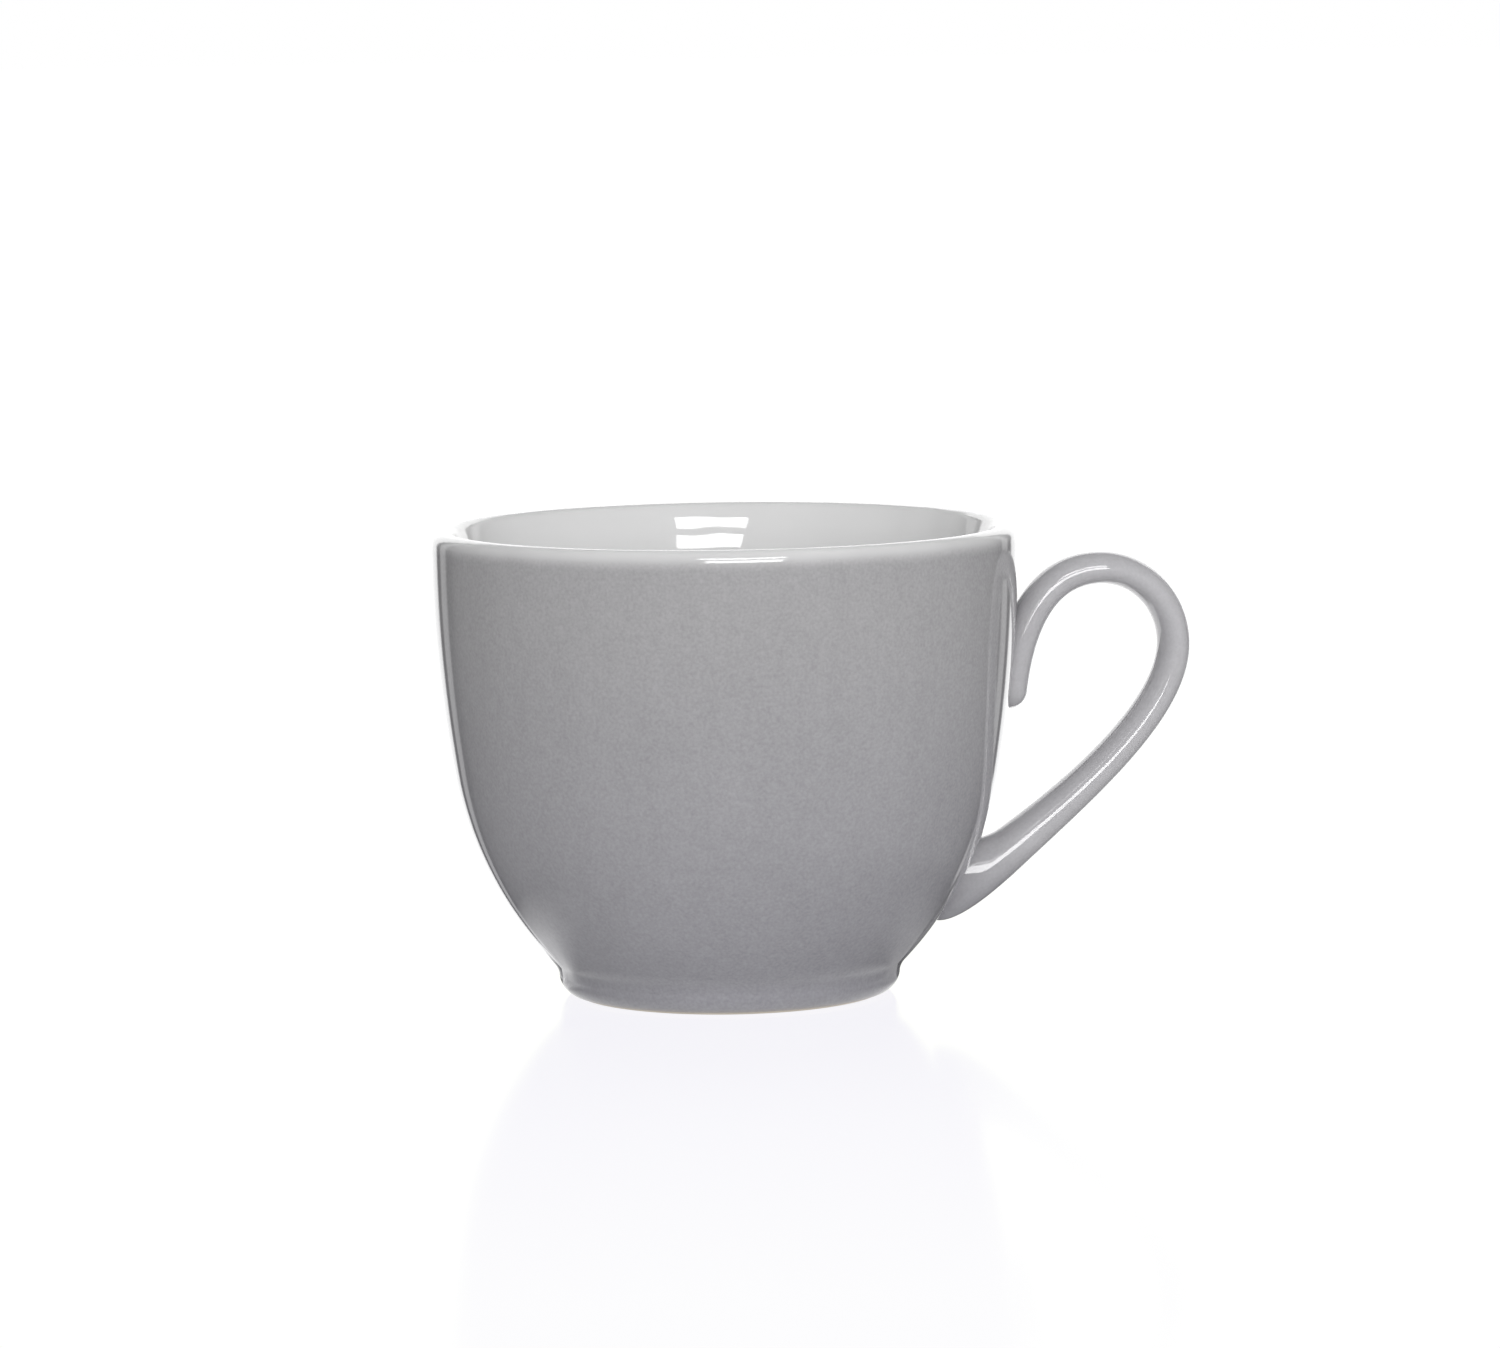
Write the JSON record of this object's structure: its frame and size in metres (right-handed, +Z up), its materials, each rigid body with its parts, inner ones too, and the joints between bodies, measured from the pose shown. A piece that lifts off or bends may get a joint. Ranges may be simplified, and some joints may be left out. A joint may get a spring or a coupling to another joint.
{
  "type": "double espresso cup",
  "caption": "Glazed porcelain espresso cup with a rounded bowl on a low foot ring, a white inside and lip, a grey outside and an ear-shaped strap handle.",
  "frame": {"origin": "on the table plane under the foot ring, at the middle of the footprint's box, so the bowl's axis stands at x = -10.6 mm", "axes": "+X from the bowl towards the handle, +Z up along the bowl's axis, +Y across the handle's plane"},
  "size_m": [0.0912, 0.07, 0.056],
  "materials": {
    "porcelain": "bare fired porcelain, smooth and matt",
    "slip": "fired joining slip, matt",
    "white_glaze": "glossy white glaze",
    "grey_glaze": "glossy grey glaze"
  },
  "bodies": {
    "root": {"bowl": "porcelain", "handle": "porcelain", "upper_slip_joint": "slip", "lower_slip_joint": "slip", "inside_glaze": "white_glaze", "outside_glaze": "grey_glaze", "handle_glaze": "grey_glaze", "underside_glaze": "white_glaze"}
  },
  "joints": []
}
